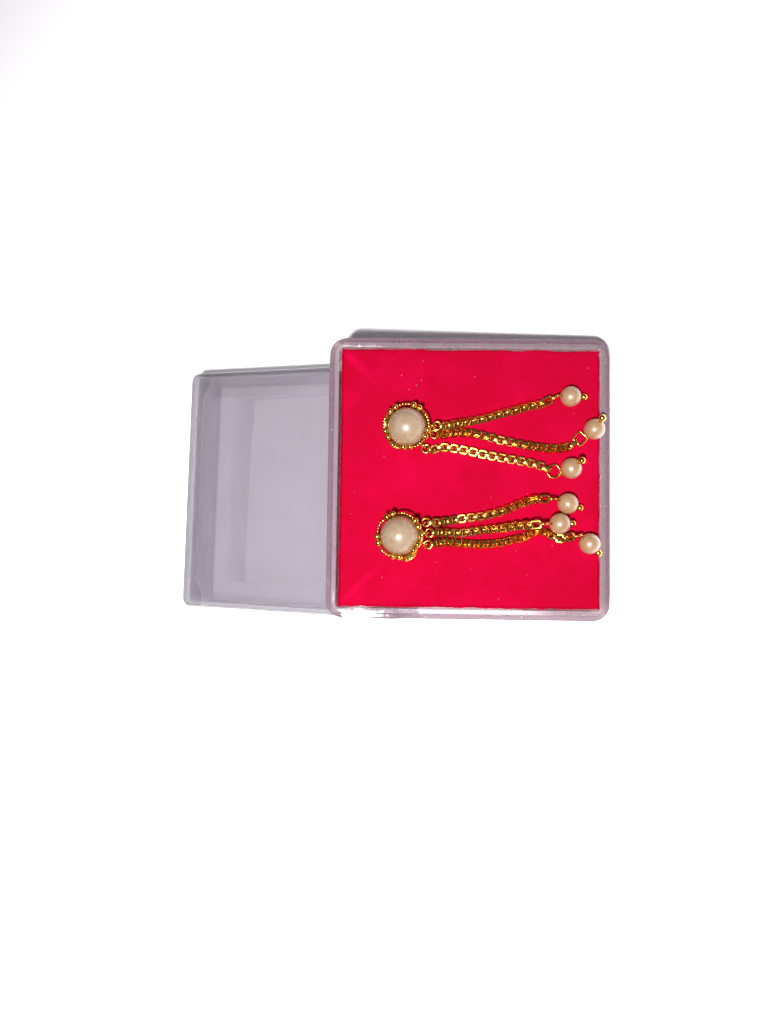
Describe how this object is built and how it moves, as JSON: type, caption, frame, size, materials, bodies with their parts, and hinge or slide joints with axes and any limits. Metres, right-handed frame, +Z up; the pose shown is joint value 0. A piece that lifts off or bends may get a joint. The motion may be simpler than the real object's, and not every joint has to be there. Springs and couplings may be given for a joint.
{
  "type": "pair of pearl drop earrings in a clear plastic box",
  "caption": "Flower-set pearl studs with box-chain strands that end in small pearl drops, lying on a red flocked pad in a clear tray that leans on its lid.",
  "frame": {"origin": "centre of the whole footprint, on the table", "axes": "+X from the lid towards the low end of the tray, +Y towards the picture's top, +Z up from the table"},
  "size_m": [0.1148, 0.0668, 0.0381],
  "materials": {
    "clear_plastic": "clear injection-moulded polystyrene, polished, finely scuffed",
    "red_flock": "short-pile flock over foam, matte, with cut edges",
    "gold_plate": "bright gold plate over brass, mirror polished",
    "cream_pearl": "cream pearl coat with a soft satin lustre",
    "tan_pearl": "warm champagne pearl coat with a bright lustre"
  },
  "bodies": {
    "root": {"box_base": "clear_plastic", "box_lid": "clear_plastic", "chain_a1": "gold_plate", "chain_a2": "gold_plate", "chain_a3": "gold_plate", "chain_b1": "gold_plate", "chain_b2": "gold_plate", "chain_b3": "gold_plate", "drop_pearl_a1": "tan_pearl", "drop_pearl_a2": "tan_pearl", "drop_pearl_a3": "tan_pearl", "drop_pearl_b1": "tan_pearl", "drop_pearl_b2": "tan_pearl", "drop_pearl_b3": "tan_pearl", "drop_pin_a1": "gold_plate", "drop_pin_a2": "gold_plate", "drop_pin_a3": "gold_plate", "drop_pin_b1": "gold_plate", "drop_pin_b2": "gold_plate", "drop_pin_b3": "gold_plate", "flower_setting_a": "gold_plate", "flower_setting_b": "gold_plate", "insert_pad": "red_flock", "pearl_cabochon_a": "cream_pearl", "pearl_cabochon_b": "cream_pearl"}
  },
  "joints": []
}
